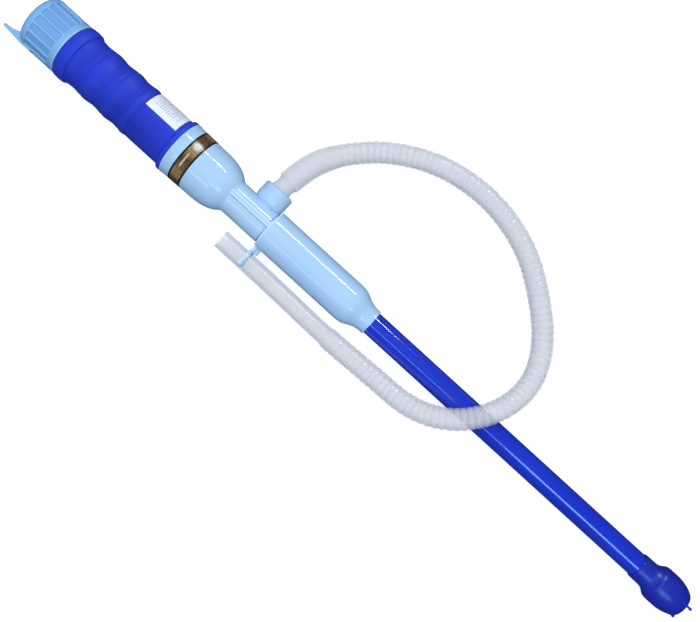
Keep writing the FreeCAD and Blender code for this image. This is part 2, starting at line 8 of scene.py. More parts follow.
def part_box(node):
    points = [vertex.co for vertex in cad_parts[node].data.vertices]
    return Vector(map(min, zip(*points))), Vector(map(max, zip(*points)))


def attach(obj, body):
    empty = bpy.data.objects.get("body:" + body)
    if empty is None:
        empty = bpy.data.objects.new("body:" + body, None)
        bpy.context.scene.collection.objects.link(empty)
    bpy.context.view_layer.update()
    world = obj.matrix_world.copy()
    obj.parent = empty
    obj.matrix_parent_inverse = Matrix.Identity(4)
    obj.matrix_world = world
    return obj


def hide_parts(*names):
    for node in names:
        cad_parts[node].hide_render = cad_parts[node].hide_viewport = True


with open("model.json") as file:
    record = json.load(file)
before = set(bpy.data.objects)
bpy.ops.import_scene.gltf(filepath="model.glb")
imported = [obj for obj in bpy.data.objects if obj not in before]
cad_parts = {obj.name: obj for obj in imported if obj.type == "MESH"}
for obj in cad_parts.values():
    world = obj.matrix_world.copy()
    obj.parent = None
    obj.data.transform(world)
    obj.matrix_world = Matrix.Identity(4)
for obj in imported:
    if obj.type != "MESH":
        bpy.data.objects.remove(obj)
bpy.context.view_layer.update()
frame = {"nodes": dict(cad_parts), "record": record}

# ---------------------------------------------------------------- sizes
# All lengths are millimetres times MM. Along is the pump's axis, +X, from the intake to the cap.
MM = 0.001
QUARTER = math.pi / 2
ROUND = 112

tube_low, tube_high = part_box("suction_tube")
bulb_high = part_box("intake_bulb")[1]
head_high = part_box("pump_head")[1]
housing_low, housing_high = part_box("housing_clip_half")
collar_low, collar_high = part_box("outlet_collar")
case_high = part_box("battery_case")[1]
cap_low, cap_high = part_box("cap_shell")
band_low, band_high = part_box("band_sticker")
label_low, label_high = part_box("label_sticker")

tube_r = tube_high.z / MM
bulb_r = bulb_high.z / MM
bulb_x = bulb_high.x / MM
head_x = head_high.x / MM
housing_x = housing_low.x / MM
case_x = housing_high.x / MM
dome_r = housing_high.z / MM
flange_r = case_high.z / MM
thread_length = 11.0
cap_x = case_high.x / MM - thread_length
cap_bottom = cap_low.x / MM
cap_r = cap_high.z / MM
outlet_x = (collar_low.x + collar_high.x) / 2 / MM
outlet_reach = -collar_low.y / MM
outlet_r = (collar_high.x - collar_low.x) / 2 / MM

cap_length = 34.0
cap_top = cap_bottom + cap_length
flute_count = 18
shoulder_x = outlet_x - 12.4
barrel_x = housing_x + 23.0
dome_length = 51.5
dome_round = 25.6
dome_x = case_x - dome_length
barrel_r = 15.6
neck_r = 13.2
rib_y = -2.3
tube_wall = 1.3
dome_foot_r = 20.9
dome_slope = (dome_r - dome_foot_r) / (dome_length - dome_round)
grip_r = flange_r - 2.2
cell_bore_r = 17.35
thread_root_r = 18.9
hose_y = 28.4
floor_z = -flange_r - 0.05

# The hose's route from the outlet to its mouth in the clip, given point by point
HOSE_ROUTE = [
    (414.3, -26.2, 0.0),
    (412.9, -50.5, -2.5),
    (400.4, -76.5, -9.0),
    (375.9, -102.5, -13.9),
    (340.9, -121.0, -13.9),
    (298.4, -127.0, -13.9),
    (255.4, -118.0, -13.9),
    (222.4, -96.5, -12.0),
    (197.9, -72.0, -4.0),
    (186.9, -43.5, 8.0),
    (193.4, -13.5, 19.0),
    (212.4, 12.5, 19.0),
    (239.4, 27.0, 10.5),
    (274.9, 28.0, 2.5),
    (320.4, 30.0, -1.5),
    (371.4, 28.4, 0.0),
    (422.8, 28.4, 0.0),
]


# ---------------------------------------------------------------- modelling helpers


def deselect():
    """Leaves nothing selected."""
    bpy.ops.object.select_all(action="DESELECT")


def take(piece):
    """Makes one object the only one that is selected, and the active one."""
    deselect()
    piece.select_set(True)
    bpy.context.view_layer.objects.active = piece


def named(name):
    """Names the new object, and puts its place and turn into its mesh."""
    piece = bpy.context.object
    piece.name = piece.data.name = name
    bpy.ops.object.transform_apply(location=True, rotation=True, scale=True)
    return piece


def ring_at(name, x, r, turns=ROUND):
    """A circle round the pump's axis, ready to be extruded."""
    deselect()
    bpy.ops.mesh.primitive_circle_add(
        vertices=turns, radius=r * MM, location=(x * MM, 0, 0), rotation=(0, QUARTER, 0)
    )
    return named(name)


def edit(piece):
    """Goes into edit mode with the whole mesh selected."""
    take(piece)
    bpy.ops.object.mode_set(mode="EDIT")
    bpy.ops.mesh.select_all(action="SELECT")


def close_up(doubles=0.0):
    """Merges doubles nearer than this many millimetres, points the faces outwards and leaves edit mode."""
    bpy.ops.mesh.select_all(action="SELECT")
    if doubles:
        bpy.ops.mesh.remove_doubles(threshold=doubles * MM)
    bpy.ops.mesh.normals_make_consistent(inside=False)
    bpy.ops.object.mode_set(mode="OBJECT")


def pick_faces(piece, wanted):
    """Goes into edit mode with only the faces selected whose centre (x, y, z) is wanted."""
    edit(piece)
    bpy.ops.mesh.select_mode(type="FACE")
    bpy.ops.mesh.select_all(action="DESELECT")
    bpy.ops.object.mode_set(mode="OBJECT")
    for face in piece.data.polygons:
        face.select = wanted(*face.center)
    bpy.ops.object.mode_set(mode="EDIT")


def turned(name, outline, turns=ROUND, closed=False):
    """A turned piece: a ring at the outline's first point, extruded and scaled on to each next point."""
    points = [(x, max(r, 0.002)) for x, r in outline]
    if closed:
        points.append(points[0])
    x, r = points[0]
    piece = ring_at(name, x, r, turns)
    edit(piece)
    for next_x, next_r in points[1:]:
        bpy.ops.mesh.extrude_region_move(TRANSFORM_OT_translate={"value": ((next_x - x) * MM, 0, 0)})
        scale = next_r / r
        bpy.ops.transform.resize(value=(1, scale, scale), center_override=(next_x * MM, 0, 0))
        x, r = next_x, next_r
    close_up(doubles=0.006)
    return piece


def curve_through(start, first, second, end, steps=14):
    """Points of a cubic curve between two (along, out) points, without the first."""
    points = []
    for i in range(1, steps + 1):
        t = i / steps
        weights = ((1 - t) ** 3, 3 * t * (1 - t) ** 2, 3 * t * t * (1 - t), t**3)
        corners = (start, first, second, end)
        points.append(tuple(sum(w * c[axis] for w, c in zip(weights, corners)) for axis in (0, 1)))
    return points


def filleted(corners, steps=5):
    """An outline with its corners rounded. A corner is (along, out) or (along, out, radius)."""
    points = []
    for i, corner in enumerate(corners):
        here = Vector(corner[:2])
        radius = corner[2] if len(corner) > 2 else 0
        if not radius or i in (0, len(corners) - 1):
            points.append(tuple(here))
            continue
        back = Vector(corners[i - 1][:2]) - here
        ahead = Vector(corners[i + 1][:2]) - here
        half = back.angle(ahead) / 2
        reach = min(radius / math.tan(half), 0.49 * back.length, 0.49 * ahead.length)
        radius = reach * math.tan(half)
        back.normalize()
        ahead.normalize()
        centre = here + (back + ahead).normalized() * radius / math.sin(half)
        start = here + back * reach - centre
        end = here + ahead * reach - centre
        sweep = start.angle(end)
        for step in range(steps + 1):
            t = step / steps
            spoke = (start * math.sin((1 - t) * sweep) + end * math.sin(t * sweep)) / math.sin(sweep)
            points.append(tuple(centre + spoke))
    return points


def swell(points, steps=8):
    """A soft line through crests and hollows: it is level at each point."""
    line = [points[0]]
    for (x0, r0), (x1, r1) in zip(points, points[1:]):
        for i in range(1, steps + 1):
            t = i / steps
            line.append((x0 + (x1 - x0) * t, r0 + (r1 - r0) * (1 - math.cos(math.pi * t)) / 2))
    return line


def block(name, low, high):
    """A box between two corners in millimetres."""
    deselect()
    centre = [(a + b) / 2 * MM for a, b in zip(low, high)]
    bpy.ops.mesh.primitive_cube_add(size=1, location=centre)
    bpy.context.object.scale = [(b - a) * MM for a, b in zip(low, high)]
    return named(name)


def ball(name, centre, r, segments, rings, stretch=(1, 1, 1)):
    """A ball, or a stretched one, round a centre in millimetres."""
    deselect()
    bpy.ops.mesh.primitive_uv_sphere_add(
        segments=segments, ring_count=rings, radius=r * MM, location=[c * MM for c in centre]
    )
    bpy.context.object.scale = stretch
    return named(name)


def apply_modifier(piece, kind, **values):
    """Adds a modifier, sets it and applies it."""
    take(piece)
    modifier = piece.modifiers.new(kind.lower(), kind)
    for key, value in values.items():
        setattr(modifier, key, value)
    bpy.ops.object.modifier_apply(modifier=modifier.name)
    return piece


def soften(piece, width, segments=2, angle=35):
    """Rounds every edge that is sharper than the angle."""
    return apply_modifier(
        piece,
        "BEVEL",
        width=width * MM,
        segments=segments,
        limit_method="ANGLE",
        angle_limit=math.radians(angle),
    )


def carve(piece, cutter):
    """Cuts one solid out of another, and removes the cutter."""
    apply_modifier(piece, "BOOLEAN", operation="DIFFERENCE", solver="EXACT", object=cutter)
    bpy.data.objects.remove(cutter)
    return piece


def cut_away(piece, point, normal):
    """Removes what lies on the normal's side of a plane, and closes the cut."""
    edit(piece)
    bpy.ops.mesh.bisect(plane_co=[c * MM for c in point], plane_no=normal, use_fill=True, clear_outer=True)
    close_up()
    return piece


def turn_by(piece, degrees, axis="X"):
    """Turns a mesh about an axis through the origin."""
    piece.data.transform(Matrix.Rotation(math.radians(degrees), 4, axis))
    return piece


def shift(piece, x, y=0.0, z=0.0):
    """Moves a mesh by so many millimetres."""
    piece.data.transform(Matrix.Translation((x * MM, y * MM, z * MM)))
    return piece


def copy_of(piece, name):
    """A copy with its own mesh."""
    twin = piece.copy()
    twin.data = piece.data.copy()
    twin.name = twin.data.name = name
    bpy.context.collection.objects.link(twin)
    return twin


def joined(name, *pieces):
    """Makes several meshes one object."""
    deselect()
    for piece in pieces:
        piece.select_set(True)
    bpy.context.view_layer.objects.active = pieces[0]
    bpy.ops.object.join()
    pieces[0].name = pieces[0].data.name = name
    return pieces[0]


def place(piece, body, finish, slot, *nodes, smooth=32):
    """Shades a piece, gives it its finish, and hands it to a body in place of its CAD nodes. Its slot is not
    used.
    """
    take(piece)
    bpy.ops.object.shade_smooth_by_angle(angle=math.radians(smooth))
    piece.data.materials.clear()
    piece.data.materials.append(finish)
    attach(piece, body)
    if nodes:
        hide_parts(*nodes)
    return piece


# ---------------------------------------------------------------- camera, floor and light


def camera():
    """Straight down on the pump, turned so that the cap is at the upper left."""
    height = 720
    turn = 222.35
    data = bpy.data.cameras.new("camera")
    data.lens = 51.4
    data.sensor_width = 36
    data.clip_start = 0.01
    seen_from = bpy.data.objects.new("camera", data)
    seen_from.location = (318.9 * MM, 4.2 * MM, height * MM)
    seen_from.rotation_euler = (0, 0, math.radians(turn))
    bpy.context.collection.objects.link(seen_from)
    bpy.context.scene.camera = seen_from


def strip_light(name, x0, x1, angle, distance, width, radiance, tint=(1, 1, 1), for_gloss=True):
    """A soft box along the axis, seen in the gloss or lighting the rest. Its angle grows from +Z to -Y."""
    data = bpy.data.lights.new(name, "AREA")
    data.shape = "RECTANGLE"
    data.size = (x1 - x0) * MM
    data.size_y = width * MM
    data.energy = radiance * math.pi * data.size * data.size_y
    data.color = tint
    lamp = bpy.data.objects.new(name, data)
    tilt = math.radians(angle)
    lamp.location = ((x0 + x1) / 2 * MM, -distance * MM * math.sin(tilt), distance * MM * math.cos(tilt))
    lamp.rotation_euler = (tilt, 0, 0)
    lamp.visible_glossy = for_gloss
    lamp.visible_diffuse = not for_gloss
    bpy.context.collection.objects.link(lamp)


def studio():
    """A pale floor, a surround that is dark in the gloss, four strips seen only in it, and a key light."""
    deselect()
    bpy.ops.mesh.primitive_plane_add(size=4, location=(0.32, 0, floor_z * MM))
    floor = named("floor")
    floor.data.materials.append(floor_finish())
    world = bpy.data.worlds.new("surround")
    bpy.context.scene.world = world
    world.use_nodes = True
    nodes = Nodes(world.node_tree)
    rays = nodes.add("LightPath").outputs
    matt = rays["Is Diffuse Ray"]
    strength = nodes.minus(nodes.ramp(matt, 0, 1, 1.1, 0.52), nodes.times(rays["Is Glossy Ray"], 1.07))
    colour = nodes.mix(matt, (1, 1, 1, 1), (0.62, 0.82, 1, 1))
    nodes.give(world.node_tree.nodes["Background"], Color=colour, Strength=strength)
    floor.visible_glossy = False
    floor.visible_diffuse = False
    bpy.context.scene.view_settings.view_transform = "Standard"
    strip_light("strip_outlet_side", 240, 640, 57, 1000, 40, 60, (0.85, 1, 1))
    strip_light("strip_clip_side", 330, 760, -40, 1000, 60, 5)
    strip_light("strip_tube", -560, -60, -23, 1100, 300, 5.6, (0.4, 0.75, 1))
    strip_light("strip_tube_soft", -60, 340, -23, 1100, 110, 4, (0.4, 0.75, 1))
    strip_light("overhead", -180, 1120, 9, 1600, 1300, 4.4, for_gloss=False)


# ---------------------------------------------------------------- material helpers


def linear(red, green, blue):
    """A colour given in 0 to 255 display values."""
    values = [c / 255 for c in (red, green, blue)]
    return (*(((v + 0.055) / 1.055) ** 2.4 if v > 0.04 else v / 12.92 for v in values), 1)


class Nodes:
    """A short way to write a node tree: each call adds a node and links what it is given."""

    def __init__(self, tree):
        self.tree = tree

    def give(self, node, **inputs):
        """Links or sets a node's inputs, by their names, or by their numbers as i0, i1 and so on."""
        for key, value in inputs.items():
            socket = node.inputs[int(key[1:]) if key[1:].isdigit() else key.replace("_", " ")]
            if isinstance(value, bpy.types.NodeSocket):
                self.tree.links.new(value, socket)
            else:
                socket.default_value = value

    def add(self, kind, *, settings=(), **inputs):
        """A new node, its kind named without ShaderNode, with its settings and inputs."""
        node = self.tree.nodes.new("ShaderNode" + kind)
        for key, value in dict(settings).items():
            setattr(node, key, value)
        self.give(node, **inputs)
        return node

    def group(self, group, **inputs):
        """A shared group, placed with its own values."""
        return self.add("Group", settings={"node_tree": group}, **inputs).outputs

    def math(self, operation, first, second=0.0):
        return self.add("Math", settings={"operation": operation}, i0=first, i1=second).outputs[0]

    def plus(self, first, *others):
        """The sum of its values."""
        for other in others:
            first = self.math("ADD", first, other)
        return first

    def times(self, first, *others):
        """The product of its values."""
        for other in others:
            first = self.math("MULTIPLY", first, other)
        return first

    def minus(self, first, second):
        return self.math("SUBTRACT", first, second)

    def gap(self, first, second):
        """How far two values lie apart, either way."""
        return self.math("ABSOLUTE", self.minus(first, second))

    def mix(self, factor, first, second):
        """A colour between two, by a factor that changes over the surface."""
        return self.add("Mix", settings={"data_type": "RGBA"}, i0=factor, i6=first, i7=second).outputs[2]

    def ramp(self, value, low, high, to_low=0.0, to_high=1.0):
        """Carries a value's range over to another, held at both ends."""
        inputs = {"From_Min": low, "From_Max": high, "To_Min": to_low, "To_Max": to_high}
        return self.add("MapRange", Value=value, **inputs).outputs[0]

    def noise(self, where, scale, detail=3.0, roughness=0.5):
        """Soft random patches, 0 to 1."""
        node = self.add("TexNoise", Vector=where, Scale=scale, Detail=detail, Roughness=roughness)
        return node.outputs["Fac"]

    def bump(self, shader, height, strength, depth):
        """Feeds the shader's normal from a height, in metres at full height."""
        lifted = self.add("Bump", Height=height, Strength=strength, Distance=depth).outputs[0]
        self.give(shader, Normal=lifted)


def new_group(name, inputs, outputs):
    """A shader node group: its tree, its given sockets and the node that takes its results.

    An input is (name, kind, default) and an output is (name, kind).
    """
    group = bpy.data.node_groups.new(name, "ShaderNodeTree")
    for label, kind, value in inputs:
        socket = group.interface.new_socket(name=label, in_out="INPUT", socket_type="NodeSocket" + kind)
        if value is not None:
            socket.default_value = value
    for label, kind in outputs:
        group.interface.new_socket(name=label, in_out="OUTPUT", socket_type="NodeSocket" + kind)
    source = group.nodes.new("NodeGroupInput")
    result = group.nodes.new("NodeGroupOutput")
    return group, Nodes(group), source.outputs, result


def moulded_group():
    """Moulded plastic: colour that drifts slightly along the flow, faint orange peel, and handling haze."""
    group, nodes, given, out = new_group(
        "moulded_plastic",
        [
            ("Where", "Vector", None),
            ("Colour", "Color", (0.5, 0.5, 0.5, 1)),
            ("Deep", "Color", (0.4, 0.4, 0.4, 1)),
            ("Flow", "Float", 0.3),
            ("Haze", "Float", 0.05),
            ("Gloss", "Float", 0.2),
            ("Peel", "Float", 900.0),
        ],
        [("Colour", "Color"), ("Roughness", "Float"), ("Height", "Float")],
    )
    stretched = nodes.add("Mapping", Vector=given["Where"], Scale=(0.18, 1, 1)).outputs[0]
    drift = nodes.noise(stretched, 55, detail=4)
    patches = nodes.noise(given["Where"], 16, detail=2)
    fine = nodes.times(nodes.ramp(drift, 0.35, 0.7), given["Flow"])
    broad = nodes.times(nodes.ramp(patches, 0.35, 0.65), given["Flow"])
    smudge = nodes.noise(given["Where"], 38, detail=6, roughness=0.65)
    haze = nodes.times(nodes.ramp(smudge, 0.45, 0.75), given["Haze"])
    specks = nodes.times(nodes.noise(given["Where"], 420, detail=1), given["Haze"], 0.5)
    peel = nodes.noise(given["Where"], given["Peel"], detail=2)
    nodes.give(
        out,
        Colour=nodes.mix(nodes.plus(fine, broad), given["Colour"], given["Deep"]),
        Roughness=nodes.plus(given["Gloss"], haze, specks),
        Height=nodes.plus(peel, nodes.times(drift, 0.15)),
    )
    return group


def scratch_group():
    """Fine hairlines from handling, running mostly along the pump. It gives a mask."""
    group, nodes, given, out = new_group(
        "handling_marks", [("Where", "Vector", None), ("Amount", "Float", 0.5)], [("Mask", "Float")]
    )
    masks = []
    for scale, turn in (((14, 260, 260), 0.25), ((220, 16, 220), -0.4)):
        mapped = nodes.add("Mapping", Vector=given["Where"], Rotation=(0.1, 0.2, turn), Scale=scale)
        masks.append(nodes.ramp(nodes.noise(mapped.outputs[0], 6.0, detail=2), 0.66, 0.72))
    lines = nodes.math("MAXIMUM", *masks)
    handled = nodes.ramp(nodes.noise(given["Where"], 30, detail=2), 0.45, 0.65)
    nodes.give(out, Mask=nodes.times(lines, handled, given["Amount"]))
    return group


def drawn_metal_group():
    """Drawn or turned metal: fine lines round the axis and a little tarnish."""
    group, nodes, given, out = new_group(
        "drawn_metal",
        [
            ("Where", "Vector", None),
            ("Colour", "Color", (0.6, 0.6, 0.6, 1)),
            ("Tarnish", "Color", (0.3, 0.3, 0.3, 1)),
            ("Amount", "Float", 0.3),
            ("Gloss", "Float", 0.3),
        ],
        [("Colour", "Color"), ("Roughness", "Float"), ("Height", "Float")],
    )
    fine = nodes.add("Mapping", Vector=given["Where"], Scale=(1, 0.04, 0.04)).outputs[0]
    lines = nodes.noise(fine, 3200, detail=2)
    stain = nodes.ramp(nodes.noise(given["Where"], 120, detail=5, roughness=0.6), 0.45, 0.7)
    amount = nodes.times(stain, given["Amount"])
    nodes.give(
        out,
        Colour=nodes.mix(amount, given["Colour"], given["Tarnish"]),
        Roughness=nodes.plus(given["Gloss"], nodes.times(lines, 0.12), nodes.times(amount, 0.3)),
        Height=lines,
    )
    return group


def new_finish(name):
    """An empty material with its shader, and Object coordinates to drive it."""
    finish = bpy.data.materials.new(name)
    finish.use_nodes = True
    nodes = Nodes(finish.node_tree)
    shader = finish.node_tree.nodes["Principled BSDF"]
    where = nodes.add("TexCoord").outputs["Object"]
    return finish, nodes, shader, where


MOULDED = moulded_group()
MARKS = scratch_group()
DRAWN = drawn_metal_group()


def moulded(name, colour, deep, gloss, flow=0.3, haze=0.06, peel=900.0, depth=0.00004, marks=0.4, **coat):
    """A moulded plastic finish from the shared groups. Its coat is given by the shader's own names."""
    finish, nodes, shader, where = new_finish(name)
    skin = nodes.group(
        MOULDED, Where=where, Colour=colour, Deep=deep, Flow=flow, Haze=haze, Gloss=gloss, Peel=peel
    )
    scuffs = nodes.group(MARKS, Where=where, Amount=marks)["Mask"]
    rough = nodes.plus(skin["Roughness"], nodes.times(scuffs, 0.2))
    nodes.give(shader, Base_Color=skin["Colour"], Roughness=rough, IOR=1.49, Coat_Roughness=0.08)
    nodes.give(shader, **coat)
    nodes.bump(shader, nodes.minus(skin["Height"], scuffs), 0.35, depth)
    return finish


def drawn(name, colour, tarnish, amount=0.3, gloss=0.28):
    """A metal finish from the shared group."""
    finish, nodes, shader, where = new_finish(name)
    metal = nodes.group(DRAWN, Where=where, Colour=colour, Tarnish=tarnish, Amount=amount, Gloss=gloss)
    nodes.give(shader, Base_Color=metal["Colour"], Roughness=metal["Roughness"], Metallic=1.0)
    nodes.bump(shader, metal["Height"], 0.2, 0.00002)
    return finish


# ---------------------------------------------------------------- finishes


def floor_finish():
    """A pale matt floor that gives off most of its own light, so that its shadows stay faint."""
    finish, nodes, shader, where = new_finish("pale_floor")
    grain = nodes.noise(where, 60, detail=4)
    nodes.give(
        shader,
        Base_Color=nodes.mix(grain, (0.46, 0.46, 0.46, 1), (0.48, 0.48, 0.48, 1)),
        Roughness=0.85,
        Specular_IOR_Level=0.1,
        Emission_Color=(1, 1, 1, 1),
        Emission_Strength=0.74,
    )
    return finish


def round_axis(nodes, where):
    """The way along the axis, the turn round it (nought at +Z, growing to -Y) and the distance from it."""
    axes = nodes.add("SeparateXYZ", Vector=where).outputs
    away = nodes.times(axes["Y"], -1.0)
    turn = nodes.math("DIVIDE", nodes.math("ARCTAN2", away, axes["Z"]), 2 * math.pi)
    out = nodes.math("SQRT", nodes.plus(nodes.times(away, away), nodes.times(axes["Z"], axes["Z"])))
    return axes["X"], turn, out


def grip_finish():
    """Dark blue grip: satin, with a fine leathery stipple and glossier crests that are painted a little paler
    as a highlight.
    """
    finish, nodes, shader, where = new_finish("grip_blue")
    body, deep = linear(32, 58, 204), linear(14, 26, 150)
    crest_highlight_blue, scuffed = linear(34, 62, 206), linear(88, 108, 210)
    skin = nodes.group(
        MOULDED, Where=where, Colour=body, Deep=deep, Flow=0.42, Haze=0.14, Gloss=0.5, Peel=1500.0
    )
    cells = nodes.add("TexVoronoi", Vector=where, Scale=1150.0).outputs["Distance"]
    scuffs = nodes.group(MARKS, Where=where, Amount=0.6)["Mask"]
    out = round_axis(nodes, where)[2]
    # Painted highlight: the raised crests are made a little paler. Their lower roughness is their real
    # polish.
    crest = nodes.ramp(out, (grip_r - 0.4) * MM, (grip_r + 0.9) * MM)
    lit = nodes.mix(nodes.times(crest, 0.45), skin["Colour"], crest_highlight_blue)
    nodes.give(
        shader,
        Base_Color=nodes.mix(nodes.times(scuffs, 0.5), lit, scuffed),
        Roughness=nodes.plus(skin["Roughness"], nodes.times(crest, -0.08)),
        IOR=1.47,
        Specular_IOR_Level=0.3,
        Coat_Weight=0.3,
        Coat_Roughness=0.55,
    )
    height = nodes.plus(nodes.times(skin["Height"], 0.5), nodes.ramp(cells, 0.05, 0.55))
    nodes.bump(shader, height, 0.5, 0.00009)
    return finish


def cap_finish():
    """Mid blue cap: satin, with painted shade that makes the pressed panels a tone deeper than the ribs, and
    a painted highlight that makes the lower edge paler.
    """
    finish, nodes, shader, where = new_finish("cap_blue")
    body, deep = linear(134, 180, 222), linear(114, 160, 214)
    recess_shade_blue, rim_highlight_blue = linear(98, 144, 210), linear(176, 208, 248)
    skin = nodes.group(
        MOULDED, Where=where, Colour=body, Deep=deep, Flow=0.35, Haze=0.08, Gloss=0.22, Peel=900.0
    )
    along, _, out = round_axis(nodes, where)
    # Painted shade: the pressed panels are darkened where they sink below the ribs.
    pressed = nodes.ramp(out, (cap_r - 0.35) * MM, (cap_r - 0.9) * MM)
    on_side = nodes.ramp(along, (cap_top - 6.2) * MM, (cap_top - 6.8) * MM)
    # Painted highlight: the rounded lower edge is made paler, as where it catches the light.
    rim = nodes.ramp(along, (cap_bottom + 1.3) * MM, (cap_bottom + 0.6) * MM)
    recess_shaded = nodes.mix(nodes.times(pressed, on_side, 0.5), skin["Colour"], recess_shade_blue)
    colour = nodes.mix(nodes.times(rim, 0.6), recess_shaded, rim_highlight_blue)
    nodes.give(shader, Base_Color=colour, Roughness=skin["Roughness"], IOR=1.49)
    nodes.bump(shader, skin["Height"], 0.35, 0.00002)
    return finish


def housing_finish():
    """Light blue housing, with painted highlights: paler lines along the shoulder's rim and the rib's edges.
    """
    body, deep, edge_highlight_blue = linear(176, 206, 233), linear(156, 192, 231), linear(214, 232, 246)
    finish = moulded("housing_blue", body, deep, 0.1, flow=0.35, haze=0.04, depth=0.000003, marks=0.25)
    nodes = Nodes(finish.node_tree)
    shader = finish.node_tree.nodes["Principled BSDF"]
    where = nodes.add("TexCoord").outputs["Object"]
    along, _, out = round_axis(nodes, where)
    # Painted highlights: pale lines along the shoulder's rim and along both edges of the neck's rib.
    from_rim = nodes.gap(along, (shoulder_x - 0.7) * MM)
    past_neck = nodes.ramp(out, (neck_r + 0.4) * MM, (neck_r + 0.8) * MM)
    rim = nodes.times(nodes.ramp(from_rim, 0.9 * MM, 0.6 * MM), past_neck)
    from_middle = nodes.gap(nodes.add("SeparateXYZ", Vector=where).outputs["Y"], rib_y * MM)
    edges = nodes.times(
        nodes.ramp(from_middle, 0.9 * MM, 1.3 * MM),
        nodes.ramp(from_middle, 2.7 * MM, 2.4 * MM),
        nodes.ramp(out, (neck_r + 0.5) * MM, (neck_r + 0.8) * MM),
        nodes.ramp(along, shoulder_x * MM, (shoulder_x + 0.3) * MM),
        nodes.ramp(along, (dome_x + 1.5) * MM, (dome_x - 1.0) * MM),
    )
    painted_edge_highlight = nodes.math("MAXIMUM", rim, edges)
    skin = shader.inputs["Base Color"].links[0].from_socket
    nodes.give(shader, Base_Color=nodes.mix(nodes.times(painted_edge_highlight, 0.75), skin, edge_highlight_blue))
    return finish


def hose_finish():
    """Milky soft plastic that lets some light and colour through, more of it in the hollows between ribs,
    which are painted a little darker than the crests as painted shade.
    """
    finish, nodes, shader, where = new_finish("hose_milky")
    ribs = nodes.add("Attribute", settings={"attribute_name": "rib_crest"}).outputs["Fac"]
    cloud = nodes.noise(where, 34, detail=5, roughness=0.6)
    body = nodes.mix(nodes.ramp(cloud, 0.3, 0.75), linear(226, 221, 227), linear(232, 227, 231))
    nodes.give(
        shader,
        # Painted shade in the rib hollows, which leaves the crests paler like a highlight.
        Base_Color=nodes.mix(nodes.ramp(ribs, 0.1, 0.75), linear(222, 218, 227), body),
        Roughness=nodes.ramp(cloud, 0.3, 0.7, 0.1, 0.18),
        Alpha=nodes.plus(nodes.ramp(ribs, 0.1, 0.9, 0.3, 0.44), nodes.ramp(cloud, 0.3, 0.7, -0.03, 0.03)),
        IOR=1.5,
    )
    fine = nodes.noise(where, 700, detail=2)
    nodes.bump(shader, nodes.plus(fine, nodes.times(cloud, 1.5)), 0.3, 0.00006)
    return finish


def band_finish():
    """The dome's foil band: brown and gold, dark along both edges, with a bare pale oval and a pale painted
    highlight along one stretch.
    """
    finish, nodes, shader, where = new_finish("band_foil")
    along, turn, _ = round_axis(nodes, where)
    low, high = band_low.x, band_high.x
    middle, half = (low + high) / 2, (high - low) / 2
    oval_turn, oval_half = 0.068, 0.027
    across = nodes.math("DIVIDE", nodes.gap(along, middle), half)
    wave = nodes.math("SINE", nodes.times(turn, 38.0))
    grain = nodes.noise(where, 240, detail=5, roughness=0.7)
    gold = nodes.plus(nodes.ramp(wave, -0.6, 1.0), nodes.times(grain, 0.4))
    face = nodes.mix(nodes.ramp(gold, 0.2, 1.2), linear(98, 60, 36), linear(178, 144, 100))
    specks = nodes.ramp(nodes.noise(where, 900, detail=2), 0.52, 0.62)
    speckled = nodes.mix(specks, face, linear(130, 100, 60))
    edge = nodes.ramp(across, 0.68, 0.78)
    bordered = nodes.mix(edge, speckled, linear(38, 30, 20))
    # Painted highlight: a pale cream line along the middle of one stretch of the band.
    highlight_streak = nodes.times(
        nodes.ramp(across, 0.34, 0.22),
        nodes.ramp(along, middle, middle + 0.1 * half),
        nodes.ramp(turn, -0.085, -0.07),
        nodes.ramp(turn, 0.02, 0.0),
    )
    highlight_streaked = nodes.mix(highlight_streak, bordered, linear(206, 196, 180))
    out_x = nodes.math("DIVIDE", nodes.minus(along, middle), half * 0.72)
    out_turn = nodes.math("DIVIDE", nodes.minus(turn, oval_turn), oval_half)
    squares = nodes.plus(nodes.times(out_x, out_x), nodes.times(out_turn, out_turn))
    oval = nodes.ramp(squares, 1.06, 0.94)
    rim = nodes.times(nodes.ramp(squares, 0.55, 0.62), nodes.ramp(squares, 0.86, 0.8))
    plate = nodes.mix(rim, linear(212, 205, 197), linear(140, 112, 80))
    nodes.give(
        shader,
        Base_Color=nodes.mix(oval, highlight_streaked, plate),
        Roughness=nodes.ramp(grain, 0.3, 0.7, 0.22, 0.4),
        Metallic=nodes.ramp(oval, 0.0, 1.0, 0.3, 0.0),
    )
    nodes.bump(shader, nodes.minus(grain, edge), 0.25, 0.00004)
    return finish


def label_finish():
    """A white paper label with faint ruled rows in place of any print."""
    finish, nodes, shader, where = new_finish("label_paper")
    along, turn, _ = round_axis(nodes, where)
    low, high = label_low.x, label_high.x
    length = high - low
    row_pitch = 1.9 * MM
    fibres = nodes.noise(where, 900, detail=4, roughness=0.7)
    rows = nodes.math("FRACT", nodes.times(along, 1 / row_pitch))
    ink = nodes.times(
        nodes.ramp(rows, 0.42, 0.5),
        nodes.ramp(rows, 0.86, 0.78),
        nodes.ramp(nodes.noise(where, 420, detail=3, roughness=0.7), 0.42, 0.5),
        nodes.ramp(along, low + 0.12 * length, low + 0.15 * length),
        nodes.ramp(along, high - 0.12 * length, high - 0.15 * length),
        nodes.ramp(turn, 0.095, 0.1),
        nodes.ramp(turn, 0.285, 0.28),
        0.75,
    )
    paper = nodes.mix(nodes.ramp(fibres, 0.4, 0.7), linear(236, 235, 238), linear(228, 227, 231))
    nodes.give(
        shader,
        Base_Color=nodes.mix(ink, paper, linear(158, 162, 190)),
        Roughness=nodes.ramp(fibres, 0.3, 0.7, 0.38, 0.55),
    )
    nodes.bump(shader, fibres, 0.25, 0.00004)
    return finish


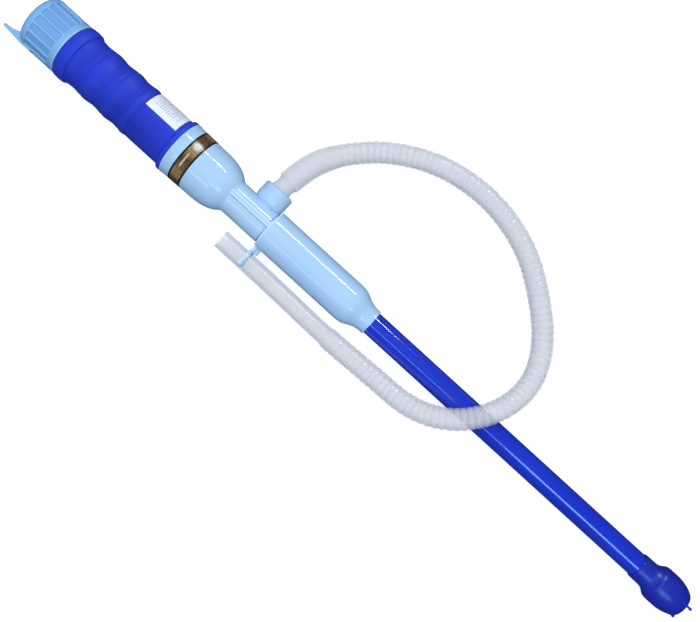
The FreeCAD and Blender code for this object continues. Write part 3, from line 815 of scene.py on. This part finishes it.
def cell_finish():
    """A cell's wrap: dark with a dull gold end, and faint shrink lines."""
    finish, nodes, shader, where = new_finish("cell_wrap")
    lines = nodes.noise(nodes.add("Mapping", Vector=where, Scale=(1, 0.1, 0.1)).outputs[0], 1800, detail=2)
    cell_low, cell_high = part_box("cell_lower")
    along = nodes.add("SeparateXYZ", Vector=where).outputs["X"]
    cells = nodes.math("DIVIDE", nodes.minus(along, cell_low.x), cell_high.x - cell_low.x)
    down_cell = nodes.math("FRACT", cells)
    wrap = nodes.mix(lines, linear(30, 30, 34), linear(44, 44, 50))
    nodes.give(
        shader,
        Base_Color=nodes.mix(nodes.ramp(down_cell, 0.76, 0.765), wrap, linear(176, 140, 84)),
        Roughness=nodes.ramp(lines, 0.3, 0.7, 0.22, 0.36),
    )
    nodes.bump(shader, lines, 0.2, 0.00002)
    return finish


def all_finishes():
    """Every finish, by the record's slot. The head's and the bulb's blue is a deeper copy of the tube's,
    painted shade for the foot end.
    """
    tube_gloss = {"depth": 0.000001, "marks": 0.2, "Coat_Weight": 1.0}
    head_gloss = {"depth": 0.00002, "marks": 0.3, "Coat_Weight": 0.6, "Coat_Roughness": 0.3}
    return {
        "dark_blue_plastic": grip_finish(),
        "deep_blue_plastic": moulded(
            "tube_blue", linear(30, 58, 200), linear(18, 38, 174), 0.12, flow=0.3, haze=0.04, **tube_gloss
        ),
        # Painted shade: a darker copy of the tube's blue for the head and the bulb at the foot end.
        "shaded_head_blue": moulded(
            "shaded_head_blue", linear(16, 38, 178), linear(8, 22, 142), 0.36, flow=0.4, haze=0.08, **head_gloss
        ),
        "light_blue_plastic": housing_finish(),
        "cap_plastic": cap_finish(),
        "hose_plastic": hose_finish(),
        "white_nylon": moulded(
            "nylon", linear(232, 231, 222), linear(216, 214, 202), 0.4, peel=1400, marks=0.1
        ),
        "black_rubber": moulded(
            "rubber", linear(34, 34, 36), linear(22, 22, 24), 0.62, peel=1800, depth=0.00008
        ),
        "shaft_steel": drawn("shaft_steel", linear(200, 200, 204), linear(140, 138, 134)),
        "motor_steel": drawn("motor_steel", linear(186, 188, 192), linear(120, 118, 112), 0.4, 0.34),
        "magnet_ferrite": moulded(
            "ferrite", linear(58, 58, 62), linear(40, 40, 44), 0.6, peel=1200, depth=0.0001
        ),
        "winding_copper": drawn("copper", linear(206, 126, 78), linear(120, 66, 40), 0.5, 0.3),
        "bush_bronze": drawn("bronze", linear(196, 156, 96), linear(120, 90, 54), 0.5, 0.42),
        "contact_nickel": drawn("nickel", linear(212, 208, 198), linear(150, 144, 130), 0.3, 0.25),
        "cell_jacket": cell_finish(),
        "lead_insulation": moulded("lead_red", linear(190, 36, 30), linear(160, 26, 22), 0.35, marks=0.1),
        "band_foil": band_finish(),
        "label_paper": label_finish(),
    }


# ---------------------------------------------------------------- hose


def hose_line():
    """Points read from the route's smooth line."""
    curve = bpy.data.curves.new("hose_line", "CURVE")
    curve.dimensions = "3D"
    spline = curve.splines.new("NURBS")
    spline.points.add(len(HOSE_ROUTE) - 1)
    for point, corner in zip(spline.points, HOSE_ROUTE):
        point.co = (*(c * MM for c in corner), 1)
    spline.order_u = 3
    spline.use_endpoint_u = True
    spline.resolution_u = 80
    holder = bpy.data.objects.new("hose_line", curve)
    bpy.context.collection.objects.link(holder)
    bpy.context.view_layer.update()
    mesh = bpy.data.meshes.new_from_object(holder.evaluated_get(bpy.context.evaluated_depsgraph_get()))
    line = [v.co.copy() for v in mesh.vertices]
    bpy.data.objects.remove(holder)
    bpy.data.meshes.remove(mesh)
    return line


def ease(value, low, high):
    """Nought before low, one after high, and soft in between."""
    t = min(max((value - low) / (high - low), 0), 1)
    return t * t * (3 - 2 * t)


def hose_section(along, total):
    """The hose's outer radius and how far up a rib it is, at a distance from the outlet in millimetres."""
    neck, cuff, body, tail = 7.5, 9.0, 8.15, 7.15
    tail_start = total - 102.0
    if along < 7.0:
        return neck + 0.35 * ease(along, 3.0, 0.0), 0.5
    radius = neck + (cuff - neck) * ease(along, 7.0, 8.2)
    radius += (body - cuff) * ease(along, 34.0, 58.0)
    radius += (tail - body) * ease(along, tail_start - 4.0, tail_start)
    ribbed = ease(along, 44.0, 62.0) * (1 - ease(along, tail_start - 8.0, tail_start - 3.0))
    pitch = 4.9
    phase = (along / pitch) % 1.0
    hollow = max(0.0, 1 - abs(phase - 0.5) / 0.3)
    depth = 0.36 * hollow * hollow * (3 - 2 * hollow)
    return radius - ribbed * depth, 1 - ribbed * hollow


def hose_rings(line):
    """A ring (centre, side, up, radius) at each point of the line, and how far up a rib each one is."""
    spans = [(b - a).length / MM for a, b in zip(line, line[1:])]
    total = sum(spans)
    along = 0.0
    side = (line[1] - line[0]).cross(Vector((0, 0, 1)))
    rings, crests = [], []
    for i, centre in enumerate(line):
        ahead = line[min(i + 1, len(line) - 1)] - line[max(i - 1, 0)]
        ahead.normalize()
        side = (side - ahead * side.dot(ahead)).normalized()
        radius, crest = hose_section(along, total)
        rings.append((centre, side, ahead.cross(side), radius))
        crests.append(crest)
        along += spans[min(i, len(spans) - 1)]
    return rings, crests


def skinned(name, rings, sides=36):
    """A closed skin from each ring to the next, and from the last back to the first."""
    corners, faces = [], []
    for i, (centre, side, up, radius) in enumerate(rings):
        here, there = i * sides, (i + 1) % len(rings) * sides
        for k in range(sides):
            angle = 2 * math.pi * k / sides
            corners.append(centre + (side * math.cos(angle) + up * math.sin(angle)) * radius * MM)
            j = (k + 1) % sides
            faces.append((here + k, here + j, there + j, there + k))
    mesh = bpy.data.meshes.new(name)
    mesh.from_pydata(corners, [], faces)
    piece = bpy.data.objects.new(name, mesh)
    bpy.context.collection.objects.link(piece)
    return piece


def hose(finish):
    """The moulded hose: narrow neck, smooth cuff, ribbed middle and smooth end, open at the mouth."""
    wall = 1.0
    widest_bore = 7.6
    line = hose_line()
    rings, crests = hose_rings(line)
    inside = [(centre, side, up, min(r - wall, widest_bore)) for centre, side, up, r in rings[::-8]]
    piece = skinned("hose", rings + inside)
    in_bore = 0.6
    crests += [in_bore] * len(inside)
    ribs = piece.data.attributes.new("rib_crest", "FLOAT", "POINT")
    sides = len(ribs.data) // len(crests)
    ribs.data.foreach_set("value", [crest for crest in crests for _ in range(sides)])
    edit(piece)
    close_up()
    place(piece, "pump", finish, "hose_plastic", "hose_cuff", "hose_ribbed", "hose_end", smooth=50)


# ---------------------------------------------------------------- intake, head and tube


def intake(finish):
    """The cup at the foot, slotted in its end wall, with its three knobbed feet."""
    bulb_bore = bulb_r - 1.8
    hub_r = 4.0
    start = [(0.0, hub_r), (0.0, 9.2)]
    start += curve_through((0.0, 9.2), (2.6, bulb_r - 2.4), (8.0, bulb_r - 0.5), (14.5, bulb_r), 18)
    outline = start + [(bulb_x - 0.2, bulb_r), (bulb_x, bulb_r - 0.2), (bulb_x, bulb_bore), (11.0, bulb_bore)]
    outline += curve_through((11.0, bulb_bore), (7.0, bulb_bore - 0.3), (4.4, bulb_bore - 1.9), (2.2, 8.4), 8)
    outline += [(2.2, hub_r), (6.2, hub_r), (6.2, 3.15), (0.6, 3.15), (0.0, 3.6)]
    cup = turned("intake_cup", outline, closed=True)
    for i in range(6):
        slot = block("slot", (-1, -1.3, hub_r + 1.2), (3.2, 1.3, 8.0))
        carve(cup, turn_by(slot, 60 * i))
    soften(cup, 0.22, 2, 40)
    feet = []
    for i in range(3):
        rib = block("rib", (-2.6, -0.8, 9.6), (11.5, 0.8, 11.0))
        edit(rib)
        bpy.ops.mesh.bevel(offset=0.45 * MM, segments=3, affect="EDGES")
        bpy.ops.object.mode_set(mode="OBJECT")
        for vertex in rib.data.vertices:
            if vertex.co.x > 4 * MM:
                vertex.co.z += 1.9 * MM
        knob = ball("knob", (-2.35, 0, 10.3), 1.25, 20, 12)
        feet.append(turn_by(joined("foot", rib, knob), 11.5 + 120 * i))
    piece = joined("intake_cup", cup, *feet)
    place(piece, "pump", finish, "deep_blue_plastic", "intake_bulb")


def head(finish):
    """The collar between the bulb and the tube: a bead, a cone and a plain sleeve."""
    sleeve_r = tube_r + 0.9
    seat = head_x - 14.5
    spigot_r = bulb_r - 1.9
    outline = [(bulb_x - 5.0, bulb_r - 3.4), (bulb_x - 5.0, spigot_r), (bulb_x + 0.05, spigot_r)]
    outline += filleted(
        [(bulb_x + 0.05, bulb_r - 1.0), (bulb_x + 0.05, bulb_r - 0.1, 0.2), (bulb_x + 1.6, bulb_r - 0.3)]
    )
    outline += curve_through(
        (bulb_x + 1.6, bulb_r - 0.3),
        (bulb_x + 4.0, bulb_r - 1.0),
        (bulb_x + 5.0, sleeve_r + 0.5),
        (bulb_x + 10.0, sleeve_r + 0.15),
        16,
    )
    outline += filleted(
        [
            (bulb_x + 10.2, sleeve_r + 0.14),
            (head_x, sleeve_r, 0.5),
            (head_x, tube_r + 0.05, 0.2),
            (seat, tube_r + 0.05),
        ]
    )
    outline += [(seat, tube_r - tube_wall), (seat - 2.0, tube_r - tube_wall), (bulb_x - 1.0, bulb_r - 3.4)]
    piece = turned("head_sleeve", outline, closed=True)
    place(piece, "pump", finish, "deep_blue_plastic", "pump_head")


def tube(finish):
    """The long suction tube, with its ends eased."""
    low, high = tube_low.x / MM, tube_high.x / MM
    bore_r = tube_r - tube_wall
    corners = [(low + 2.0, bore_r), (low, bore_r, 0.3), (low, tube_r, 0.3)]
    corners += [(low + (high - low) * i / 24, tube_r) for i in range(1, 24)]
    corners += [(high, tube_r, 0.3), (high, bore_r, 0.3), (high - 2.0, bore_r)]
    piece = turned("suction_pipe", filleted(corners), closed=True)
    place(piece, "pump", finish, "deep_blue_plastic", "suction_tube")


# ---------------------------------------------------------------- housing, outlet and clip


def housing_outline():
    """Outside and inside of the light shell, as one closed outline."""
    wall = 1.9
    socket_r = tube_r + 0.05
    collar_r = socket_r + 1.15
    middle = housing_x + 2.5 + 10.25
    outline = filleted([(housing_x + 3.0, socket_r), (housing_x, socket_r, 0.3), (housing_x, collar_r, 0.5)])
    outline += [(housing_x + 0.6, collar_r), (housing_x + 2.5, collar_r)]
    outline += curve_through(
        (housing_x + 2.5, collar_r),
        (middle, collar_r + 0.2),
        (middle - 0.5, barrel_r),
        (barrel_x, barrel_r),
        20,
    )
    outline += [(barrel_x + (shoulder_x - barrel_x) * i / 8, barrel_r) for i in range(1, 8)]
    outline += filleted(
        [
            (shoulder_x - 4.0, barrel_r),
            (shoulder_x, barrel_r, 1.3),
            (shoulder_x, neck_r - 1.2, 0.3),
            (shoulder_x + 1.1, neck_r - 1.2, 0.3),
            (shoulder_x + 1.4, neck_r, 0.3),
            (dome_x - 3.0, neck_r),
        ],
        7,
    )
    outline += curve_through(
        (dome_x - 1.5, neck_r),
        (dome_x + 2.0, neck_r),
        (dome_x + 3.0, dome_foot_r + 0.3),
        (dome_x + dome_round, dome_foot_r),
        30,
    )
    outline += [(case_x - back, dome_r - dome_slope * back) for back in (20.0, 16.0, 12.0, 8.0)]
    inner = dome_foot_r - 2.3
    seat = inner + 0.5
    outline += filleted(
        [
            (case_x - 2.6, dome_r - 0.05),
            (case_x - 2.2, dome_r + 0.25, 0.3),
            (case_x - 0.05, dome_r + 0.25, 0.6),
            (case_x - 0.05, seat, 0.3),
            (case_x - 6.5, seat),
            (case_x - 6.5, inner),
            (dome_x + 15.0, inner, 4.0),
            (dome_x, neck_r - wall, 4.0),
            (shoulder_x - 1.0, neck_r - wall),
            (shoulder_x - 4.0, barrel_r - wall),
            (barrel_x + 8.0, barrel_r - wall),
            (housing_x + 24.0, tube_r - tube_wall),
            (housing_x + 22.0, tube_r - tube_wall),
            (housing_x + 22.0, socket_r),
        ]
    )
    return outline


def housing(finish):
    """The two bonded halves of the light shell. The outlet's half carries the seam's raised rib."""
    clip_half = turned("housing_clip_side", housing_outline(), turns=128, closed=True)
    outlet_half = copy_of(clip_half, "housing_outlet_side")
    cut_away(clip_half, (0, 0.02, 0), (0, -1, 0))
    cut_away(outlet_half, (0, -0.02, 0), (0, 1, 0))
    groove = block("groove", (shoulder_x + 0.6, -0.5, neck_r - 0.8), (dome_x - 0.6, 0.9, neck_r + 3.0))
    carve(clip_half, groove)
    start, end = shoulder_x - 0.4, dome_x + 4.2
    root, crest = neck_r - 1.0, neck_r + 1.3
    rib_half = 2.0
    rib = turned("rib", [(start, root), (start, crest), (end, crest), (end, root)], closed=True)
    cut_away(rib, (0, rib_y + rib_half, 0), (0, 1, 0))
    cut_away(rib, (0, rib_y - rib_half, 0), (0, -1, 0))
    cut_away(rib, (0, 0, 0), (0, 0, -1))
    soften(rib, 0.3, 3, 30)
    outlet_half = joined("housing_outlet_side", outlet_half, rib)
    place(clip_half, "pump", finish, "light_blue_plastic", "housing_clip_half", smooth=40)
    place(outlet_half, "pump", finish, "light_blue_plastic", "housing_outlet_half", smooth=40)


def outlet(finish):
    """The cup over the outlet: a stem out of the neck, a rounded body and a rolled top edge."""
    bore = 7.6
    stem = 9.0
    outline = filleted(
        [
            (neck_r - 5.0, bore),
            (neck_r - 5.0, stem),
            (neck_r - 2.6, stem, 0.8),
            (neck_r + 0.2, outlet_r - 0.4, 2.6),
            (neck_r + 3.0, outlet_r, 3.0),
            (outlet_reach, outlet_r, 2.2),
            (outlet_reach, bore + 0.6, 0.8),
            (outlet_reach - 0.9, bore),
        ],
        8,
    )
    cup = turned("outlet_cup", outline, closed=True)
    turn_by(cup, -90, "Z")
    shift(cup, outlet_x)
    start, end = outlet_x - 20, outlet_x + 20
    core_r = neck_r - 0.4
    carve(cup, turned("core", [(start, 0), (start, core_r), (end, core_r), (end, 0)]))
    place(cup, "pump", finish, "light_blue_plastic", "outlet_collar", smooth=40)


def clip(finish):
    """The moulded foot, the thin arm and the open ring that hold the hose's end beside the barrel."""
    width = 3.0
    x = shoulder_x - 3.5
    inside = 7.2
    outside = inside + 1.8
    outline = [(x, inside), (x, outside), (x + width, outside), (x + width, inside)]
    hoop = turned("hose_clip", outline, closed=True)
    cut_away(hoop, (0, 3.4, 0), (0, 1, 0))
    shift(hoop, 0, hose_y)
    soften(hoop, 0.5, 3, 50)
    parts = [hoop]
    for side in (-1, 1):
        centre = (x + width / 2, hose_y + 3.2, side * (inside + 0.9))
        parts.append(ball("knob", centre, 2.0, 28, 18, stretch=(1.0, 1.1, 0.7)))
    foot = block("foot", (x, barrel_r - 1.2, -2.6), (x + width, hose_y - inside - 0.6, 2.6))
    soften(foot, 0.5, 3, 30)
    web = block("web", (x - 2.8, barrel_r - 1.2, -3.2), (x + 0.6, hose_y - inside - 0.4, 0.6))
    soften(web, 0.4, 3, 30)
    piece = joined("hose_holder", *parts, foot, web)
    place(piece, "pump", finish, "light_blue_plastic", "hose_clip", smooth=45)


def band(finish):
    """The thin foil band, its edges lapped down on the dome."""
    low, high = band_low.x / MM, band_high.x / MM
    under = [(x, dome_r - dome_slope * (case_x - x) + 0.01) for x in (low, high)]
    over = [(high - 0.15, under[1][1] + 0.14), (low + 0.15, under[0][1] + 0.14)]
    piece = turned("dome_band", under + over, closed=True)
    place(piece, "pump", finish, "band_foil", "band_sticker")


# ---------------------------------------------------------------- grip and cap


def crease(outline, centre, depth, width):
    """Presses a soft ring-shaped crease into an outline."""
    return [(x, r - depth * math.exp(-(((x - centre) / width) ** 2))) for x, r in outline]


def grip(finish):
    """The dark grip: rounded flanges, three finger waves, and the neck that the cap screws on."""
    wave_start = case_x + 34.2
    lower = filleted(
        [
            (case_x - 6.5, cell_bore_r + 0.05),
            (case_x - 6.5, grip_r - 1.05),
            (case_x + 0.05, grip_r - 1.05),
            (case_x + 0.05, flange_r - 0.2, 0.9),
            (case_x + 2.9, flange_r - 0.15, 1.4),
            (case_x + 4.6, grip_r + 0.1, 1.2),
            (case_x + 6.4, grip_r),
        ],
        6,
    )
    flat = [(case_x + 6.4 + (wave_start - case_x - 6.4) * i / 10, grip_r) for i in range(1, 10)]
    waves = swell(
        [
            (wave_start, grip_r),
            (case_x + 38.8, grip_r + 0.6),
            (case_x + 46.5, grip_r - 0.3),
            (case_x + 55.5, grip_r + 0.6),
            (case_x + 65.5, grip_r - 0.3),
            (case_x + 75.5, grip_r + 0.6),
            (case_x + 85.5, grip_r - 0.25),
            (cap_x - 9.6, grip_r + 0.35),
        ],
        12,
    )
    upper = filleted(
        [
            (cap_x - 9.4, grip_r + 0.4),
            (cap_x - 8.6, flange_r - 0.35, 0.7),
            (cap_x - 4.5, flange_r, 6.0),
            (cap_x, flange_r - 0.35, 0.7),
            (cap_x, thread_root_r, 0.3),
            (cap_x + thread_length, thread_root_r - 0.05, 0.5),
            (cap_x + thread_length, cell_bore_r, 0.4),
            (cap_x + 8.0, cell_bore_r),
        ],
        6,
    )
    stop_r = 9.5
    bore = [(case_x + 1.5, cell_bore_r), (case_x + 1.5, stop_r), (case_x - 1.0, stop_r)]
    bore.append((case_x - 1.0, cell_bore_r + 0.05))
    outline = lower + flat + waves
    for centre, depth in ((35.4, 0.42), (41.9, 0.3), (57.6, 0.48), (67.5, 0.22), (78.6, 0.42)):
        outline = crease(outline, case_x + centre, depth, 0.7)
    piece = turned("grip_body", outline + upper + bore, turns=128, closed=True)
    dent_waves(piece)
    place(piece, "pump", finish, "dark_blue_plastic", "battery_case", smooth=40)
    thread(finish)


def dent_waves(piece):
    """Flattens the waves a little between eight soft ridges, as a moulded hand grip has."""
    first, last = (case_x + 36.0) * MM, (cap_x - 11.0) * MM
    for vertex in piece.data.vertices:
        x, y, z = vertex.co
        out = math.hypot(y, z)
        if first < x < last and out > (grip_r - 0.9) * MM:
            angle = math.atan2(y, z)
            fade = ease(x, first, first + 4 * MM) * (1 - ease(x, last - 5 * MM, last))
            pressed = 0.09 * MM * fade * (1 - math.cos(8 * angle + 0.6)) / 2
            vertex.co = (x, y * (out - pressed) / out, z * (out - pressed) / out)


def thread(finish):
    """The screw thread on the grip's neck, as a low helical ridge."""
    pitch = 3.0
    turns = 1.2
    start = ((cap_x + 5.2) * MM, 0, (thread_root_r + 0.05) * MM)
    deselect()
    bpy.ops.mesh.primitive_plane_add(size=1, location=start, rotation=(QUARTER, 0, 0))
    bpy.context.object.scale = (1.3 * MM, 0.44 * MM, 1)
    piece = named("neck_thread")
    apply_modifier(
        piece,
        "SCREW",
        axis="X",
        steps=96,
        render_steps=96,
        angle=2 * math.pi * turns,
        screw_offset=turns * pitch * MM,
        iterations=1,
        use_merge_vertices=False,
    )
    edit(piece)
    close_up(doubles=0.01)
    place(piece, "pump", finish, "dark_blue_plastic")


def label(finish):
    """The paper label: a curved sheet, a hair proud of the grip."""
    low, high = label_low.x / MM, label_high.x / MM
    radius = grip_r + 0.03
    first, last = math.radians(20), math.radians(110)
    piece = turned("grip_label", [(low + (high - low) * i / 24, radius) for i in range(25)], turns=288)
    pick_faces(piece, lambda _, y, z: not first < math.atan2(-y, z) < last)
    bpy.ops.mesh.delete(type="FACE")
    bpy.ops.mesh.select_mode(type="VERT")
    bpy.ops.object.mode_set(mode="OBJECT")
    apply_modifier(piece, "SOLIDIFY", thickness=0.13 * MM, offset=1.0)
    place(piece, "pump", finish, "label_paper", "label_sticker", smooth=30)


def cap(finish):
    """The fluted screw cap: a plain rim, pressed panels between ribs, a domed shoulder and the tongue."""
    crown = 6.5
    wall = 2.15
    bore = cap_r - wall
    flute_start, flute_end = cap_bottom + 5.4, cap_top - 7.2
    outline = filleted(
        [
            (cap_bottom + 2.0, bore),
            (cap_bottom, bore, 0.4),
            (cap_bottom, cap_r, 0.7),
            (cap_bottom + 3.0, cap_r),
        ]
    )
    outline += [(flute_start + (flute_end - flute_start) * i / 6, cap_r) for i in range(7)]
    outline += curve_through(
        (cap_top - crown, cap_r),
        (cap_top - 2.6, cap_r - 0.1),
        (cap_top - 0.3, cap_r - 2.4),
        (cap_top, cap_r - crown),
    )
    outline += [(cap_top + 0.25, 9.0), (cap_top + 0.3, 4.0), (cap_top + 0.3, 0.0)]
    outline += filleted(
        [
            (cap_top - wall, 0.0),
            (cap_top - wall, bore - 8.0, 3.0),
            (cap_top - wall - 1.6, bore - 3.4, 3.0),
            (cap_top - 14.0, bore - 1.6, 0.4),
            (cap_top - 14.0, bore),
        ]
    )
    shell = turned("cap_body", outline, turns=flute_count * 10)
    press_panels(shell, flute_start, flute_end)
    soften(shell, 0.3, 3, 24)
    piece = joined("cap_body", shell, tongue())
    place(piece, "cap", finish, "cap_plastic", "cap_shell", smooth=40)


def press_panels(shell, flute_start, flute_end):
    """Insets the panels between the ribs and presses them in."""
    step = 2 * math.pi / flute_count
    pressed_r = cap_r - 1.15

    def on_panel(x, y, z):
        on_side = flute_start * MM < x < flute_end * MM and math.hypot(y, z) > (cap_r - 0.6) * MM
        turn = (math.atan2(y, z) / step + 0.5) % 1.0
        return on_side and abs(turn - 0.5) < 0.41

    pick_faces(shell, on_panel)
    bpy.ops.mesh.inset(thickness=0.4 * MM, use_individual=False)
    bpy.ops.transform.resize(value=(1, pressed_r / cap_r, pressed_r / cap_r), center_override=(0, 0, 0))
    bpy.ops.mesh.select_mode(type="VERT")
    close_up()


def tongue():
    """The thumb tongue on the clip's side, leaning in a little, with a pad and a gusset at its root."""
    half = 7.0
    tip = cap_high.x / MM
    outer = cap_r - 1.4
    side = [
        (cap_top - 14.0, outer),
        (cap_top - 13.0, cap_r),
        (cap_top - 4.0, cap_r),
        (tip - 0.3, outer),
        (tip, outer - 0.3),
        (tip, outer - 2.0),
        (tip - 0.3, outer - 2.3),
        (cap_top + 6.0, outer - 3.0),
        (cap_top + 4.6, outer - 3.4),
        (cap_top + 1.0, cap_r - 6.4),
        (cap_top - 2.0, cap_r - 7.0),
    ]
    deselect()
    bpy.ops.mesh.primitive_circle_add(vertices=len(side), radius=MM, fill_type="NGON")
    plate = bpy.context.object
    for vertex, (x, y) in zip(plate.data.vertices, side):
        vertex.co = (x * MM, y * MM, -half * MM)
    plate = named("cap_tongue")
    edit(plate)
    bpy.ops.mesh.extrude_region_move(TRANSFORM_OT_translate={"value": (0, 0, 2 * half * MM)})
    close_up()
    return soften(plate, 0.7, 4, 30)


# ---------------------------------------------------------------- the whole pump


def main():
    """Camera and hose first, then the studio and the rest of the pump. CAD nodes that stay get a finish."""
    camera()
    finishes = all_finishes()
    hose(finishes["hose_plastic"])
    studio()
    intake(finishes["shaded_head_blue"])
    head(finishes["shaded_head_blue"])
    tube(finishes["deep_blue_plastic"])
    housing(finishes["light_blue_plastic"])
    outlet(finishes["light_blue_plastic"])
    clip(finishes["light_blue_plastic"])
    band(finishes["band_foil"])
    grip(finishes["dark_blue_plastic"])
    label(finishes["label_paper"])
    cap(finishes["cap_plastic"])
    for row in frame["record"]["subparts"]:
        node = frame["nodes"][row["node"]]
        node.data.materials.clear()
        node.data.materials.append(finishes[row["material_slot"]])


main()
